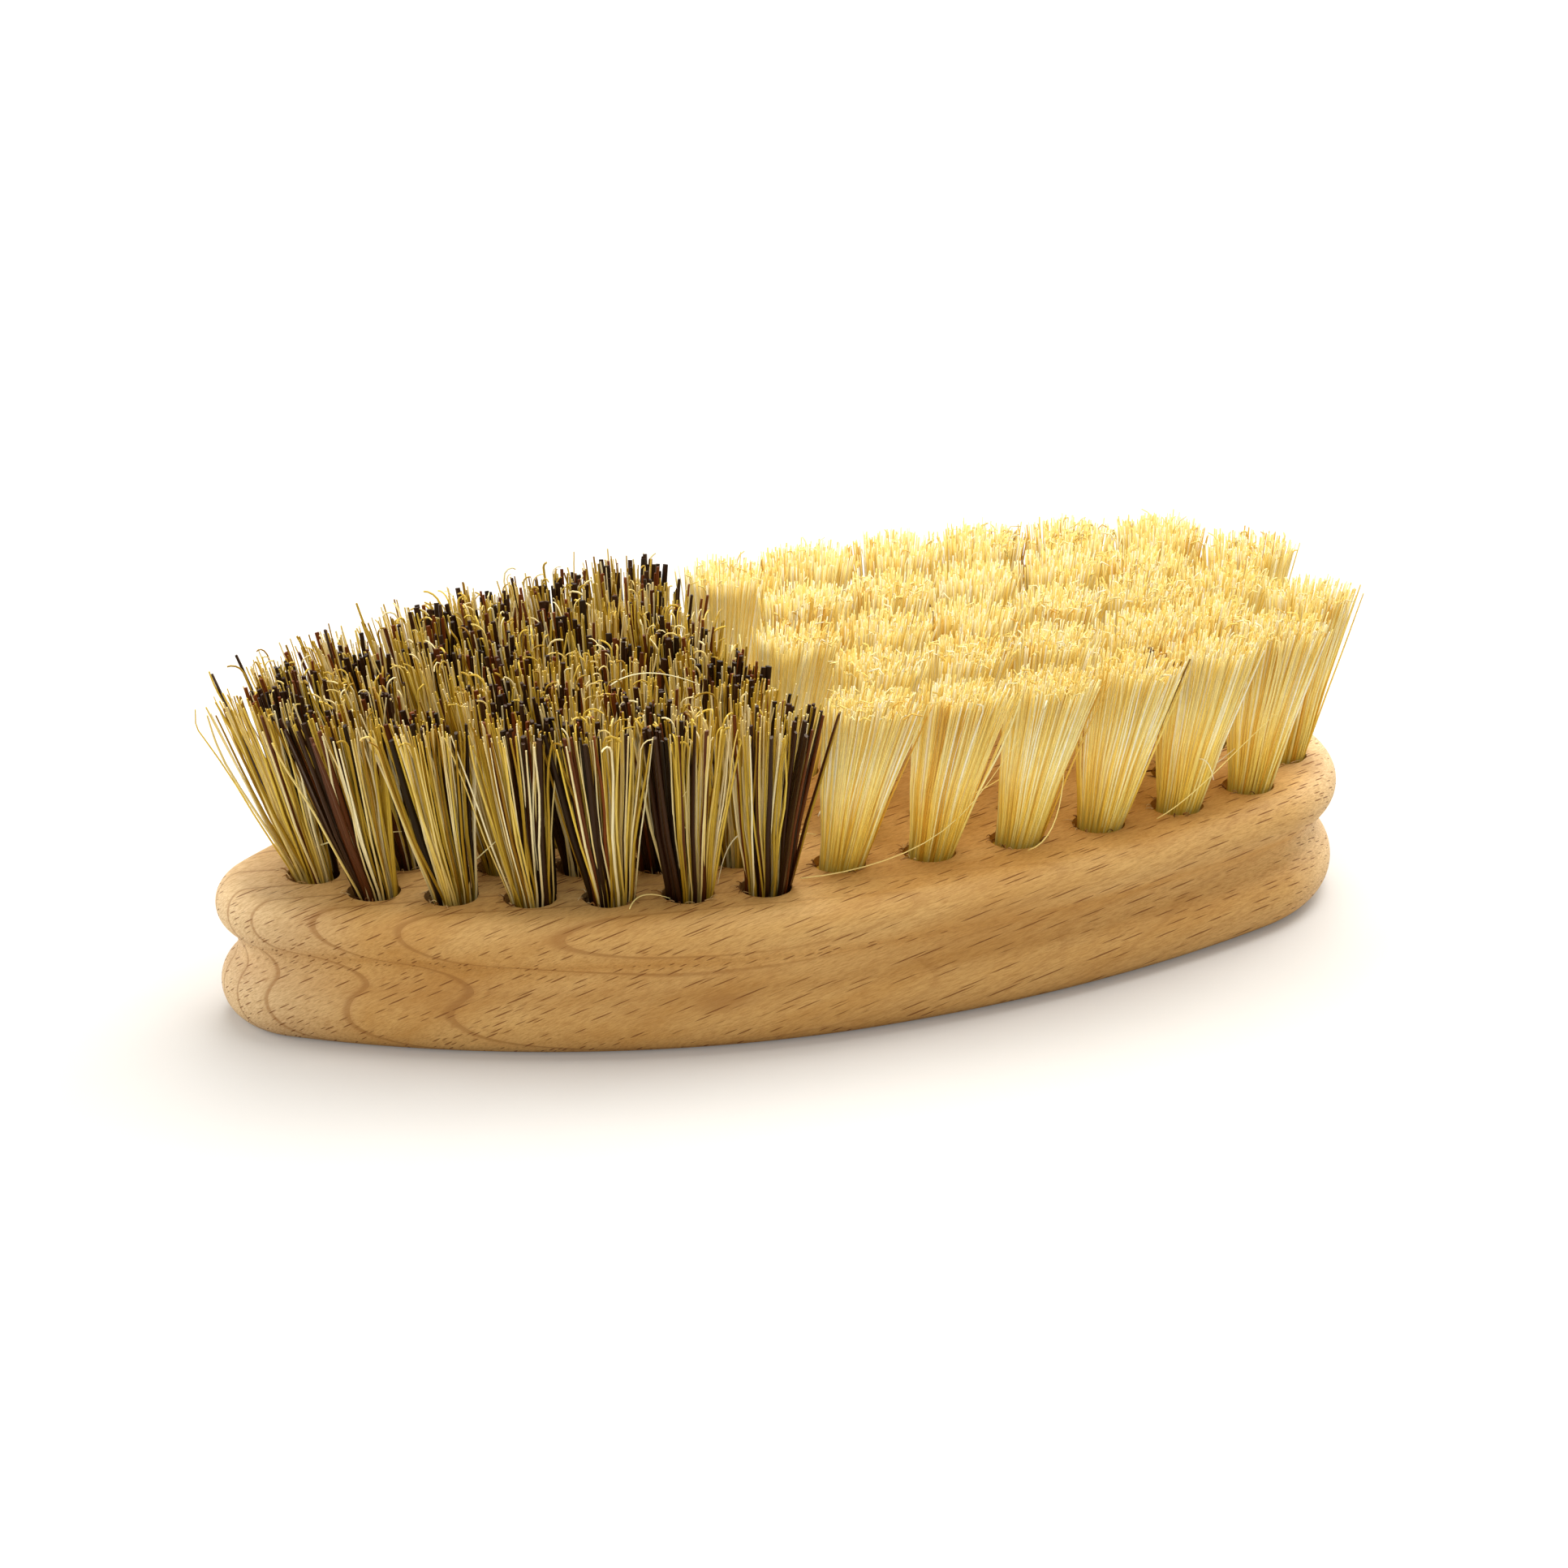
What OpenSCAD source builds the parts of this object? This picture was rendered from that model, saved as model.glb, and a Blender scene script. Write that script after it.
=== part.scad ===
// Vegetable brush lying on its back, bristles up.
// A moulded beech block with blind bores, a folded tuft of plant fibre in each bore,
// and a flat wire anchor across the fold of each tuft.
// The origin is the centre of the flat underside; +X points to the soft end, +Z to the tips.

/* [Block] */
// Length from tip to tip
block_l = 135; // [132:1:142]
// Greatest width, half way along
block_w = 61; // [59:0.5:64]
// Thickness from the underside to the bristle face
block_h = 16.5; // [16:0.1:18]
// Radius of the narrow tip, at the stiff tufts
narrow_tip_r = 11; // [10:0.5:12]
// Radius of the full tip, at the soft tufts
full_tip_r = 22; // [20:0.5:24]

/* [Moulded edge] */
// Radius of the nose that rolls over from the bristle face
nose_r = 3; // [2.5:0.1:3.5]
// Radius of the hollow that the fingers hold
cove_r = 2.5; // [2:0.1:3]
// Depth of that hollow behind the nose
cove_depth = 2.4; // [2:0.1:2.8]
// Radius of the bead below the hollow
bead_r = 4.4; // [4:0.1:5]
// How far the bead stands back from the nose
bead_setback = 0.4; // [0.1:0.1:0.8]
// How far inside the outline the bead ends in a low upright edge at the foot
foot_inset = 2.5; // [2.4:0.1:2.6]

/* [Bores and anchors] */
// Diameter of a bore, and of the tuft root that fills it
bore_d = 6; // [5.8:0.1:6.2]
// Depth of a bore along its own axis
bore_depth = 9.5; // [8.5:0.1:10]
// Length of an anchor, which bites into both sides of the bore
anchor_l = 6.8; // [6.6:0.1:7]
// Height of an anchor
anchor_h = 2; // [1.5:0.1:2.5]
// Thickness of an anchor
anchor_t = 0.4; // [0.3:0.05:0.5]
// Fibre in the fold under the anchor
fold_t = 0.9; // [0.6:0.1:1.5]

/* [Stiff tufts] */
// Distance of the outer row from the edge of the block
stiff_margin = 8.1; // [7.8:0.1:8.5]
// Distance from one row to the next
stiff_row_gap = 8.8; // [8.6:0.1:9]
// Distance from tuft to tuft along a row
stiff_pitch = 8.75; // [8.6:0.05:8.9]
// Distance of the last column from the middle of the block
stiff_start = 10.9; // [10.5:0.1:11.5]
// Height of the trimmed tips above the bristle face
stiff_l = 22; // [20:0.1:24]

/* [Soft tufts] */
// Distance of the first column from the middle of the block, on the stiff side
soft_start = 0.7; // [0.4:0.1:1]
// Distance from tuft to tuft along a row
soft_pitch = 10.6; // [10.4:0.1:10.7]
// Distance of the second rows from the centre row
soft_row_gap = 9.3; // [9.1:0.1:9.4]
// Half the greatest distance between the two outer rows
soft_half_w = 19.2; // [19:0.1:19.4]
// Height of the trimmed tips above the bristle face
soft_l = 20.8; // [19:0.1:23]

/* [Lean and fan] */
// Lean of the stiff tufts towards the narrow tip, for each millimetre past their last column
stiff_lean = 0.13; // [0.1:0.01:0.14]
// Lean of the soft tufts towards the full tip
soft_lean = 2.6; // [2:0.1:2.8]
// Crosswise lean of the stiff tufts, for each millimetre from the centre line
stiff_spread = 0.16; // [0.13:0.01:0.17]
// Crosswise lean of the soft tufts, for each millimetre from the centre line
soft_spread = 0.22; // [0.16:0.01:0.24]
// Distance of the outer strands from the tuft's axis at the root
root_fan = 1.95; // [1.9:0.05:2]
// The same at the tips
tip_fan = 3.7; // [3.4:0.1:3.8]
// Strands in each tuft
strands = 8; // [7:1:8]

/* [Hidden] */
half_l = block_l / 2;
half_w = block_w / 2;
narrow_x = half_l - narrow_tip_r;
full_x = half_l - full_tip_r;
strand_sides = 3;
root_r = 0.72;
middle_r = 0.76;
tip_r = 0.62;
strand_bite = 1.2;
bow = 0.4;
stiff_uneven = 1.6;
soft_uneven = 0.9;
cutter_overrun = 5;
$fn = 96;

// Arcs of the moulding cross by this much, and so meet in a fine arris.
arc_overlap = 0.05;

// Each tip stands out past its side arcs by this share of its radius, and the side arcs of the
// stiff end by this length past those of the soft end, so that arcs cross and are nowhere tangent.
tip_corner = 0.01;
waist_corner = 0.2;

// The soft rows are widest here, and their outer row turns round this point with this radius.
soft_wide_x = 15;
soft_turn_x = 45.8;
soft_turn_r = 15.2;
soft_corner_y = 7.4;

// The cove runs into the nose above it and into the bead below it.
nose_z = block_h - nose_r;
cove_z = nose_z - drop(nose_r + cove_r, cove_depth);
bead_z = cove_z - drop(bead_r + cove_r, cove_depth - bead_setback);

// A length to the nearest micrometre.
function exact(v) = round(v * 1000) / 1000;

// Height between the centres of two such arcs whose crests stand one depth apart.
function drop(radii, depth) =
    exact(sqrt(pow(radii - arc_overlap, 2) - pow(radii - depth, 2)));

// Radius of a side arc of half width w that touches an end arc of radius r, d away.
function side_r(d, w, r) = exact((d * d / (w - r) + w + r) / 2);

// Point of such a row at arc length s from its widest place.
function row_at(s, d, w, r) =
    let (side = side_r(d, w, r), seam = atan2(d, side - w), turn = s / side * 180 / PI)
    turn < seam
        ? [side * sin(turn), side * cos(turn) - side + w]
        : let (t = seam + (turn - seam) * side / r) [d + r * sin(t), r * cos(t)];

function both_sides(points) = concat(points, [for (p = points) [p.x, -p.y]]);

// Stiff half: two rows along each edge, one tuft in the tip and a staggered core.
function stiff_row(inset, last) = [for (k = [0:last])
    let (p = row_at(stiff_start + k * stiff_pitch, narrow_x, half_w - inset, narrow_tip_r - inset))
    [-p.x, p.y]];
stiff_at = concat(
    both_sides(stiff_row(stiff_margin, 5)),
    [[-narrow_x, 0]],
    both_sides(stiff_row(stiff_margin + stiff_row_gap, 3)),
    both_sides([[-stiff_start, stiff_row_gap / 2]]),
    [for (k = [1, 2, 4]) [-stiff_start - k * stiff_pitch, 0]]);

// Soft half: an outer row that turns round the tip, staggered second rows and a centre row.
soft_outer = [for (k = [0:6])
    let (s = k * soft_pitch - soft_start - soft_wide_x)
    row_at(s, soft_turn_x - soft_wide_x, soft_half_w, soft_turn_r) + [soft_wide_x, 0]];
soft_second = [for (k = [0:3]) [(k + 0.5) * soft_pitch - soft_start, soft_row_gap]];
soft_at = concat(
    both_sides(soft_outer),
    both_sides(soft_second),
    both_sides([[soft_turn_x, soft_corner_y]]),
    [for (k = [0:5]) [k * soft_pitch - soft_start, 0]]);

// How far a tuft's tips stand from its root, lengthwise, crosswise and upwards.
function stiff_rise(p) = [(p.x + stiff_start) * stiff_lean, p.y * stiff_spread, stiff_l];
function soft_rise(p) = [soft_lean, p.y * soft_spread, soft_l];

function numbered(name, i) = str(name, i < 9 ? "0" : "", i + 1);

// Places its children at a bore's mouth, with Z along the bore's axis.
module at_bore(p, rise) {
    heading = atan2(rise.y, rise.x);
    tilt = atan2(norm([rise.x, rise.y]), rise.z);
    translate([p.x, p.y, block_h])
        rotate([0, 0, heading])
            rotate([0, tilt, 0])
                rotate([0, 0, -heading])
                    children();
}

// Does the same at every bore.
module at_each_bore() {
    for (p = stiff_at) at_bore(p, stiff_rise(p)) children();
    for (p = soft_at) at_bore(p, soft_rise(p)) children();
}

// Half section of the block out to radius r: nose, cove, bead and a low foot.
module moulding(r) {
    nose = [r - nose_r, nose_z];
    cove = [r - cove_depth + cove_r, cove_z];
    bead = [r - bead_setback - bead_r, bead_z];
    intersection() {
        square([r + nose_r, block_h + nose_r]);
        difference() {
            union() {
                square([r - foot_inset, bead_z]);
                polygon([[0, 0], [bead.x, 0], bead, cove, nose, [nose.x, block_h], [0, block_h]]);
                translate(nose) circle(nose_r);
                translate(bead) circle(bead_r);
            }
            translate(cove) circle(cove_r);
        }
    }
}

// The blank: two full moulded discs cross in a lens, whose edges are the side arcs of the soft end.
module blank(side) {
    intersection() {
        translate([0, half_w - side, 0]) rotate_extrude() moulding(side);
        translate([0, side - half_w, 0]) rotate_extrude() moulding(side);
    }
}

// What a cutter takes off round an arc of the outline of radius r, beyond both faces.
module waste(r, start, angle) {
    rotate([0, 0, start])
        rotate_extrude(angle = angle)
            difference() {
                translate([0, -nose_r]) square([r + block_w, block_h + 2 * nose_r]);
                moulding(r);
                translate([0, cove_z]) square([r - nose_r, block_h]);
                translate([0, -block_h]) square([r - foot_inset, block_h + bead_z]);
            }
}

// The root of a tuft, and the bore that it fills, which is open above the face.
module root(above = 0) {
    translate([0, 0, -bore_depth]) cylinder(d = bore_d, h = bore_depth + above);
}

module anchor() {
    translate([-anchor_l / 2, -anchor_t / 2, fold_t - bore_depth])
        cube([anchor_l, anchor_t, anchor_h]);
}

// The blank with its two tips and the narrower side arcs of the stiff end cut, then drilled.
module block() {
    stiff_w = half_w + waist_corner;
    full_side = side_r(full_x - tip_corner * full_tip_r, half_w, full_tip_r);
    narrow_side = side_r(narrow_x - tip_corner * narrow_tip_r, stiff_w, narrow_tip_r);
    full_seam = atan2(full_x, full_side - half_w);
    narrow_seam = atan2(narrow_x, narrow_side - stiff_w);
    color("burlywood")
        difference() {
            blank(full_side);
            translate([full_x, 0, 0])
                waste(full_tip_r, full_seam - 90, 180 - 2 * full_seam);
            translate([-narrow_x, 0, 0])
                waste(narrow_tip_r, narrow_seam + 90, 180 - 2 * narrow_seam);
            translate([0, stiff_w - narrow_side, 0])
                waste(narrow_side, 90, narrow_seam + cutter_overrun);
            translate([0, narrow_side - stiff_w, 0])
                waste(narrow_side, -90 - narrow_seam - cutter_overrun, narrow_seam + cutter_overrun);
            at_each_bore() root(above = nose_r);
            at_each_bore() anchor();
        }
}

module tuft_anchors() {
    color("lightsteelblue") at_each_bore() anchor();
}

// One strand: three level rings of points joined by triangles, with its tip trimmed level.
module strand(root, middle, tip, turn) {
    n = strand_sides;
    points = [for (ring = [[root, root_r], [middle, middle_r], [tip, tip_r]], j = [0:n - 1])
        let (a = turn + j * 360 / n)
        ring[0] + ring[1] * [cos(a), sin(a), 0]];
    sides = [for (k = [0:1], j = [0:n - 1], lower = [true, false])
        let (a = k * n + j, b = k * n + (j + 1) % n)
        lower ? [a, b + n, b] : [a, a + n, b + n]];
    bottom = [for (j = [0:n - 1]) j];
    top = [for (j = [n - 1:-1:0]) 2 * n + j];
    polyhedron(points, concat(sides, [bottom, top]));
}

// A tuft: its folded root fills the bore round the anchor, and its strands fan out above.
module tuft(p, rise, uneven, seed) {
    turns = rands(0, 360, strands + 1, seed);
    trims = rands(-uneven, 0, strands, seed + 100);
    mouth = [p.x, p.y, block_h];
    slope = rise / rise.z;
    difference() {
        union() {
            at_bore(p, rise) root();
            for (i = [0:strands - 1]) {
                a = turns[strands] + i * 360 / (strands - 1);
                out = i == strands - 1 ? [0, 0, 0] : [cos(a), sin(a), 0];
                root = mouth - strand_bite * slope + root_fan * out;
                tip = mouth + rise + trims[i] * slope + tip_fan * out;
                middle = (root + tip) / 2 - bow * out;
                strand(root, middle, tip, turns[i]);
            }
        }
        at_bore(p, rise) anchor();
    }
}

module stiff_tuft(i) {
    color("darkolivegreen") tuft(stiff_at[i], stiff_rise(stiff_at[i]), stiff_uneven, i);
}

module soft_tuft(i) {
    color("khaki") tuft(soft_at[i], soft_rise(soft_at[i]), soft_uneven, i + 50);
}

block();
tuft_anchors();
for (i = [0:len(stiff_at) - 1])
    stiff_tuft(i);
for (i = [0:len(soft_at) - 1])
    soft_tuft(i);
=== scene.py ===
# A beech vegetable brush lying on its back: stiff tufts at the narrow tip, soft tufts at the full one.
import math

import bpy
import numpy as np
from mathutils import Matrix


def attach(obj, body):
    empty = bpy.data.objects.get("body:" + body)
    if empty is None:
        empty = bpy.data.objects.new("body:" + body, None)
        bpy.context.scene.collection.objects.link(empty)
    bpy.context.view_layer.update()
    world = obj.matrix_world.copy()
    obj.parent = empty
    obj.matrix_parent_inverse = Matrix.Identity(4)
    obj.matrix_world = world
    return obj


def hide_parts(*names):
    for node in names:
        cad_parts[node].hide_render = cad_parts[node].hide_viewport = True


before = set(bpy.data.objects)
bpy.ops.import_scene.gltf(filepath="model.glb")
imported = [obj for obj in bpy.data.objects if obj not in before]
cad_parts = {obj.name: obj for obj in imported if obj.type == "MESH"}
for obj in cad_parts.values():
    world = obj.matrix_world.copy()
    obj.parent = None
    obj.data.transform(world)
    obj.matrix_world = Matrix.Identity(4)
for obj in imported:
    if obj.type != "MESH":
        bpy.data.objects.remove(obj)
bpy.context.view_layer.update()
mm = 0.001
scene = bpy.context.scene
print("frame loaded:", len(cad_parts), "nodes")


# the photograph's view, worked out from the outline of the block and the places of the tufts
# degrees and millimetres, but metres for the nearest and furthest that it sees
camera = {
    "azimuth": -21.32, "elevation": 22.07, "distance": 771.5, "target": (9.73, 25.29, 8.0),
    "lens": 149.07, "sensor": 36, "nearest": 0.01, "furthest": 20}

azimuth = math.radians(camera["azimuth"])
elevation = math.radians(camera["elevation"])
backward = np.array([math.sin(azimuth) * math.cos(elevation),
                     -math.cos(azimuth) * math.cos(elevation),
                     math.sin(elevation)])
sideways = np.array([math.cos(azimuth), math.sin(azimuth), 0])
upward = np.cross(backward, sideways)
eye = (np.array(camera["target"]) + backward * camera["distance"]) * mm
cameraData = bpy.data.cameras.new("Camera")
cameraData.lens = camera["lens"]
cameraData.sensor_width = camera["sensor"]
cameraData.sensor_fit = "HORIZONTAL"
cameraData.clip_start = camera["nearest"]
cameraData.clip_end = camera["furthest"]
cameraObject = bpy.data.objects.new("Camera", cameraData)
axes = np.array([sideways, upward, backward]).T
cameraObject.matrix_world = Matrix([[*row, place] for row, place in zip(axes, eye)] + [[0, 0, 0, 1]])
scene.collection.objects.link(cameraObject)
scene.camera = cameraObject
scene.view_settings.view_transform = "Standard"

# a wide softbox overhead on the right, a low one behind each end, a weaker one at the front; metres and watts
softboxes = {
    "TopSoftbox": {"place": (0.36, 0.3, 1.25), "size": 1.2, "watts": 27.0},
    "BackLeftSoftbox": {"place": (-0.9, 0.55, 0.45), "size": 0.7, "watts": 5.5},
    "BackRightSoftbox": {"place": (0.95, 0.35, 0.55), "size": 0.7, "watts": 4.5},
    "FrontSoftbox": {"place": (-0.75, -0.75, 0.7), "size": 0.9, "watts": 4.0},
}
for name, box in softboxes.items():
    light = bpy.data.lights.new(name, "AREA")
    light.shape = "SQUARE"
    light.size = box["size"]
    light.energy = box["watts"]
    lamp = bpy.data.objects.new(name, light)
    lamp.location = box["place"]
    toward = -np.array(box["place"]) / np.linalg.norm(box["place"])
    across = np.cross(toward, [0, 0, 1])
    across /= np.linalg.norm(across)
    facing = np.array([across, np.cross(across, toward), -toward]).T
    lamp.rotation_euler = Matrix(facing.tolist()).to_euler()
    scene.collection.objects.link(lamp)


def toLinear(colour):
    # sRGB hex value to linear light: a straight line near black and a power of 2.4 above it
    parts = [int(colour[i:i + 2], 16) / 255 for i in (1, 3, 5)]
    return tuple(c / 12.92 if c <= 0.04045 else ((c + 0.055) / 1.055) ** 2.4 for c in parts) + (1,)


def addNode(tree, kind, settings=None, inputs=None, stops=None):
    # adds a node; inputs are values, or sockets to link from; stops are the places and colours of a ramp
    node = tree.nodes.new(kind)
    for name, value in (settings or {}).items():
        setattr(node, name, value)
    for name, value in (inputs or {}).items():
        if isinstance(value, bpy.types.NodeSocket):
            tree.links.new(value, node.inputs[name])
        else:
            node.inputs[name].default_value = value
    for i, (place, colour) in enumerate(stops or []):
        stop = node.color_ramp.elements[i] if i < 2 else node.color_ramp.elements.new(place)
        stop.position, stop.color = place, toLinear(colour)
    return node


def newMaterial(name):
    material = bpy.data.materials.new(name)
    material.use_nodes = True
    material.node_tree.nodes.clear()
    return material, material.node_tree


# the world lights evenly; the camera, and anything shiny, sees plain white
studio = {"colour": "#fffaf2", "strength": 0.36}
world = bpy.data.worlds.new("PaleStudio")
scene.world = world
world.use_nodes = True
tree = world.node_tree
tree.nodes.clear()
path = addNode(tree, "ShaderNodeLightPath")
shiny = addNode(tree, "ShaderNodeMath", {"operation": "MAXIMUM"}, {
    0: path.outputs["Is Camera Ray"], 1: path.outputs["Is Glossy Ray"]})
seen = addNode(tree, "ShaderNodeMath", {"operation": "MAXIMUM"}, {
    0: shiny.outputs[0], 1: path.outputs["Is Transmission Ray"]})
dim = addNode(tree, "ShaderNodeBackground", None, {
    "Color": toLinear(studio["colour"]), "Strength": studio["strength"]})
white = addNode(tree, "ShaderNodeBackground", None, {"Color": (1, 1, 1, 1), "Strength": 1})
mix = addNode(tree, "ShaderNodeMixShader", None, {0: seen.outputs[0], 1: dim.outputs[0], 2: white.outputs[0]})
addNode(tree, "ShaderNodeOutputWorld", None, {"Surface": mix.outputs[0]})

# the table is matt white paper: it keeps the brush's shadow and adds a little light for the camera only
matt = {"colour": "#cdcac5", "glow": "#fffdf8", "glowStrength": 0.12, "halfSide": 6.0}   # metres
material, tree = newMaterial("MattWhitePaper")
path = addNode(tree, "ShaderNodeLightPath")
paper = addNode(tree, "ShaderNodeBsdfDiffuse", None, {"Color": toLinear(matt["colour"])})
glow = addNode(tree, "ShaderNodeEmission", None, {
    "Color": toLinear(matt["glow"]), "Strength": matt["glowStrength"]})
unlit = addNode(tree, "ShaderNodeEmission", None, {"Color": (0, 0, 0, 1), "Strength": 0})
lift = addNode(tree, "ShaderNodeMixShader", None, {
    0: path.outputs["Is Camera Ray"], 1: unlit.outputs[0], 2: glow.outputs[0]})
both = addNode(tree, "ShaderNodeAddShader", None, {0: paper.outputs[0], 1: lift.outputs[0]})
addNode(tree, "ShaderNodeOutputMaterial", None, {"Surface": both.outputs[0]})
table = bpy.data.meshes.new("Table")
half = matt["halfSide"]
tableCorners = [(-half, -half, 0), (half, -half, 0), (half, half, 0), (-half, half, 0)]
table.from_pydata(tableCorners, [], [(0, 1, 2, 3)])
table.materials.append(material)
tableObject = bpy.data.objects.new("Table", table)
scene.collection.objects.link(tableObject)
print("stage set")


# sizes of the block, in millimetres, as in the solid part
block = {
    "length": 135, "width": 61, "height": 16.5, "narrowRadius": 11, "fullRadius": 22,
    "noseRadius": 3, "coveRadius": 2.5, "coveDepth": 2.4, "beadRadius": 4.4, "beadSetback": 0.4,
    "aroundSteps": 520, "noseSteps": 18, "coveSteps": 14, "beadSteps": 18,
}
# rows of tufts, in millimetres; spread is how far a tip moves out for each millimetre that its mouth is off
# centre, and lean is how far it moves along: for each millimetre in the stiff half, in all in the soft one
stiffRows = {
    "margin": 8.1, "rowGap": 8.8, "pitch": 8.75, "start": 10.9, "outer": 6, "inner": 4, "core": (1, 2, 4),
    "rise": 22, "lean": 0.13, "spread": 0.16,
}
softRows = {
    "start": 0.7, "pitch": 10.6, "rowGap": 9.3, "halfWidth": 19.2, "outer": 7, "second": 4, "centre": 6,
    "wideX": 15, "turnX": 45.8, "turnRadius": 15.2, "cornerY": 7.4, "rise": 20.8, "lean": 2.6, "spread": 0.22,
}

halfLength = block["length"] / 2
halfWidth = block["width"] / 2
narrowX = halfLength - block["narrowRadius"]
fullX = halfLength - block["fullRadius"]


def sideRadius(d, w, r):
    # radius of a side arc of half width w that is tangent to an end arc of radius r whose centre is d away
    return (d * d / (w - r) + w + r) / 2


def rowAt(s, d, w, r):
    # a point at arc length s: first along the side arc, then, past the seam, round the end arc
    side = sideRadius(d, w, r)
    seam = math.atan2(d, side - w)
    turn = s / side
    late = seam + (turn - seam) * side / r
    onSide = turn < seam
    x = np.where(onSide, side * np.sin(turn), d + r * np.sin(late))
    y = np.where(onSide, side * np.cos(turn) - side + w, r * np.cos(late))
    return np.stack([x, y], 1)


def bothSides(points):
    # the points and their mirror images across the middle line
    return np.concatenate([points, points * [1, -1]])


def risesOf(points, ahead, look):
    # how far each tuft's axis runs along, across and up from its mouth to its tip
    return np.stack([ahead, points[:, 1] * look["spread"], np.full(len(points), look["rise"])], 1)


def stiffPlaces():
    # an outer and an inner row at even steps round the narrow tip, and a few tufts down the middle
    r = stiffRows
    rows = []
    for inset, count in ((r["margin"], r["outer"]), (r["margin"] + r["rowGap"], r["inner"])):
        steps = r["start"] + r["pitch"] * np.arange(count)
        rows.append(rowAt(steps, narrowX, halfWidth - inset, block["narrowRadius"] - inset) * [-1, 1])
    outer, inner = rows
    middle = np.array([[-r["start"], r["rowGap"] / 2]])
    core = [[-r["start"] - k * r["pitch"], 0] for k in r["core"]]
    points = np.concatenate([bothSides(outer), [[-narrowX, 0]], bothSides(inner), bothSides(middle), core])
    return points, risesOf(points, (points[:, 0] + r["start"]) * r["lean"], r)


def softPlaces():
    # an outer row that runs round the full tip, a second row, a corner pair and a middle row
    r = softRows
    steps = r["pitch"] * np.arange(r["outer"]) - r["start"] - r["wideX"]
    outer = rowAt(steps, r["turnX"] - r["wideX"], r["halfWidth"], r["turnRadius"]) + [r["wideX"], 0]
    secondX = (np.arange(r["second"]) + 0.5) * r["pitch"] - r["start"]
    second = np.stack([secondX, np.full(r["second"], r["rowGap"])], 1)
    corner = np.array([[r["turnX"], r["cornerY"]]])
    centre = np.stack([np.arange(r["centre"]) * r["pitch"] - r["start"], np.zeros(r["centre"])], 1)
    points = np.concatenate([bothSides(outer), bothSides(second), bothSides(corner), centre])
    return points, risesOf(points, np.full(len(points), r["lean"]), r)


stiffAt, stiffRise = stiffPlaces()
softAt, softRise = softPlaces()
boreAt = np.concatenate([stiffAt, softAt])
boreRise = np.concatenate([stiffRise, softRise])


def boreFrames(rises):
    # the least turn that takes straight up to each tuft's axis: one matrix for each tuft
    axis = rises / np.linalg.norm(rises, axis=1, keepdims=True)
    x, y, z = axis.T
    zero = np.zeros_like(x)
    rows = [[zero, zero, x], [zero, zero, y], [-x, -y, zero]]
    skew = np.stack([np.stack(row, 1) for row in rows], 1)
    return np.eye(3) + skew + skew @ skew / (1 + z)[:, None, None]


boreTurn = boreFrames(boreRise)
boreMouth = np.column_stack([boreAt, np.full(len(boreAt), block["height"])])


def makePiece(name, points, faceSets, material, sharp=None, values=None):
    # puts arrays of points in millimetres and of equal-sided faces into a mesh object at the origin
    # edges that turn more than sharp, in degrees, aren't smoothed
    mesh = bpy.data.meshes.new(name)
    corners = np.concatenate([np.asarray(f).ravel() for f in faceSets]).astype(np.int32)
    sizes = np.concatenate([np.full(len(f), np.asarray(f).shape[1]) for f in faceSets])
    mesh.vertices.add(len(points))
    mesh.vertices.foreach_set("co", (np.asarray(points) * mm).astype(np.float32).ravel())
    mesh.loops.add(len(corners))
    mesh.loops.foreach_set("vertex_index", corners)
    mesh.polygons.add(len(sizes))
    mesh.polygons.foreach_set("loop_start", np.concatenate([[0], np.cumsum(sizes)[:-1]]).astype(np.int32))
    mesh.update(calc_edges=True)
    mesh.validate()
    mesh.polygons.foreach_set("use_smooth", np.ones(len(sizes), bool))
    if sharp:
        mesh.set_sharp_from_angle(angle=math.radians(sharp))
    for key, numbers in (values or {}).items():
        layer = mesh.attributes.new(key, "FLOAT", "POINT")
        layer.data.foreach_set("value", np.asarray(numbers, np.float32).ravel())
    mesh.materials.append(material)
    piece = bpy.data.objects.new(name, mesh)
    scene.collection.objects.link(piece)
    return piece


def gridFaces(rows, columns, start=0):
    # quads between the rows of a grid of points, each row closed to a ring
    i, j = np.meshgrid(np.arange(rows - 1), np.arange(columns), indexing="ij")
    a, b = i * columns + j, i * columns + (j + 1) % columns
    return (np.stack([a, b, b + columns, a + columns], -1) + start).reshape(-1, 4)


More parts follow.
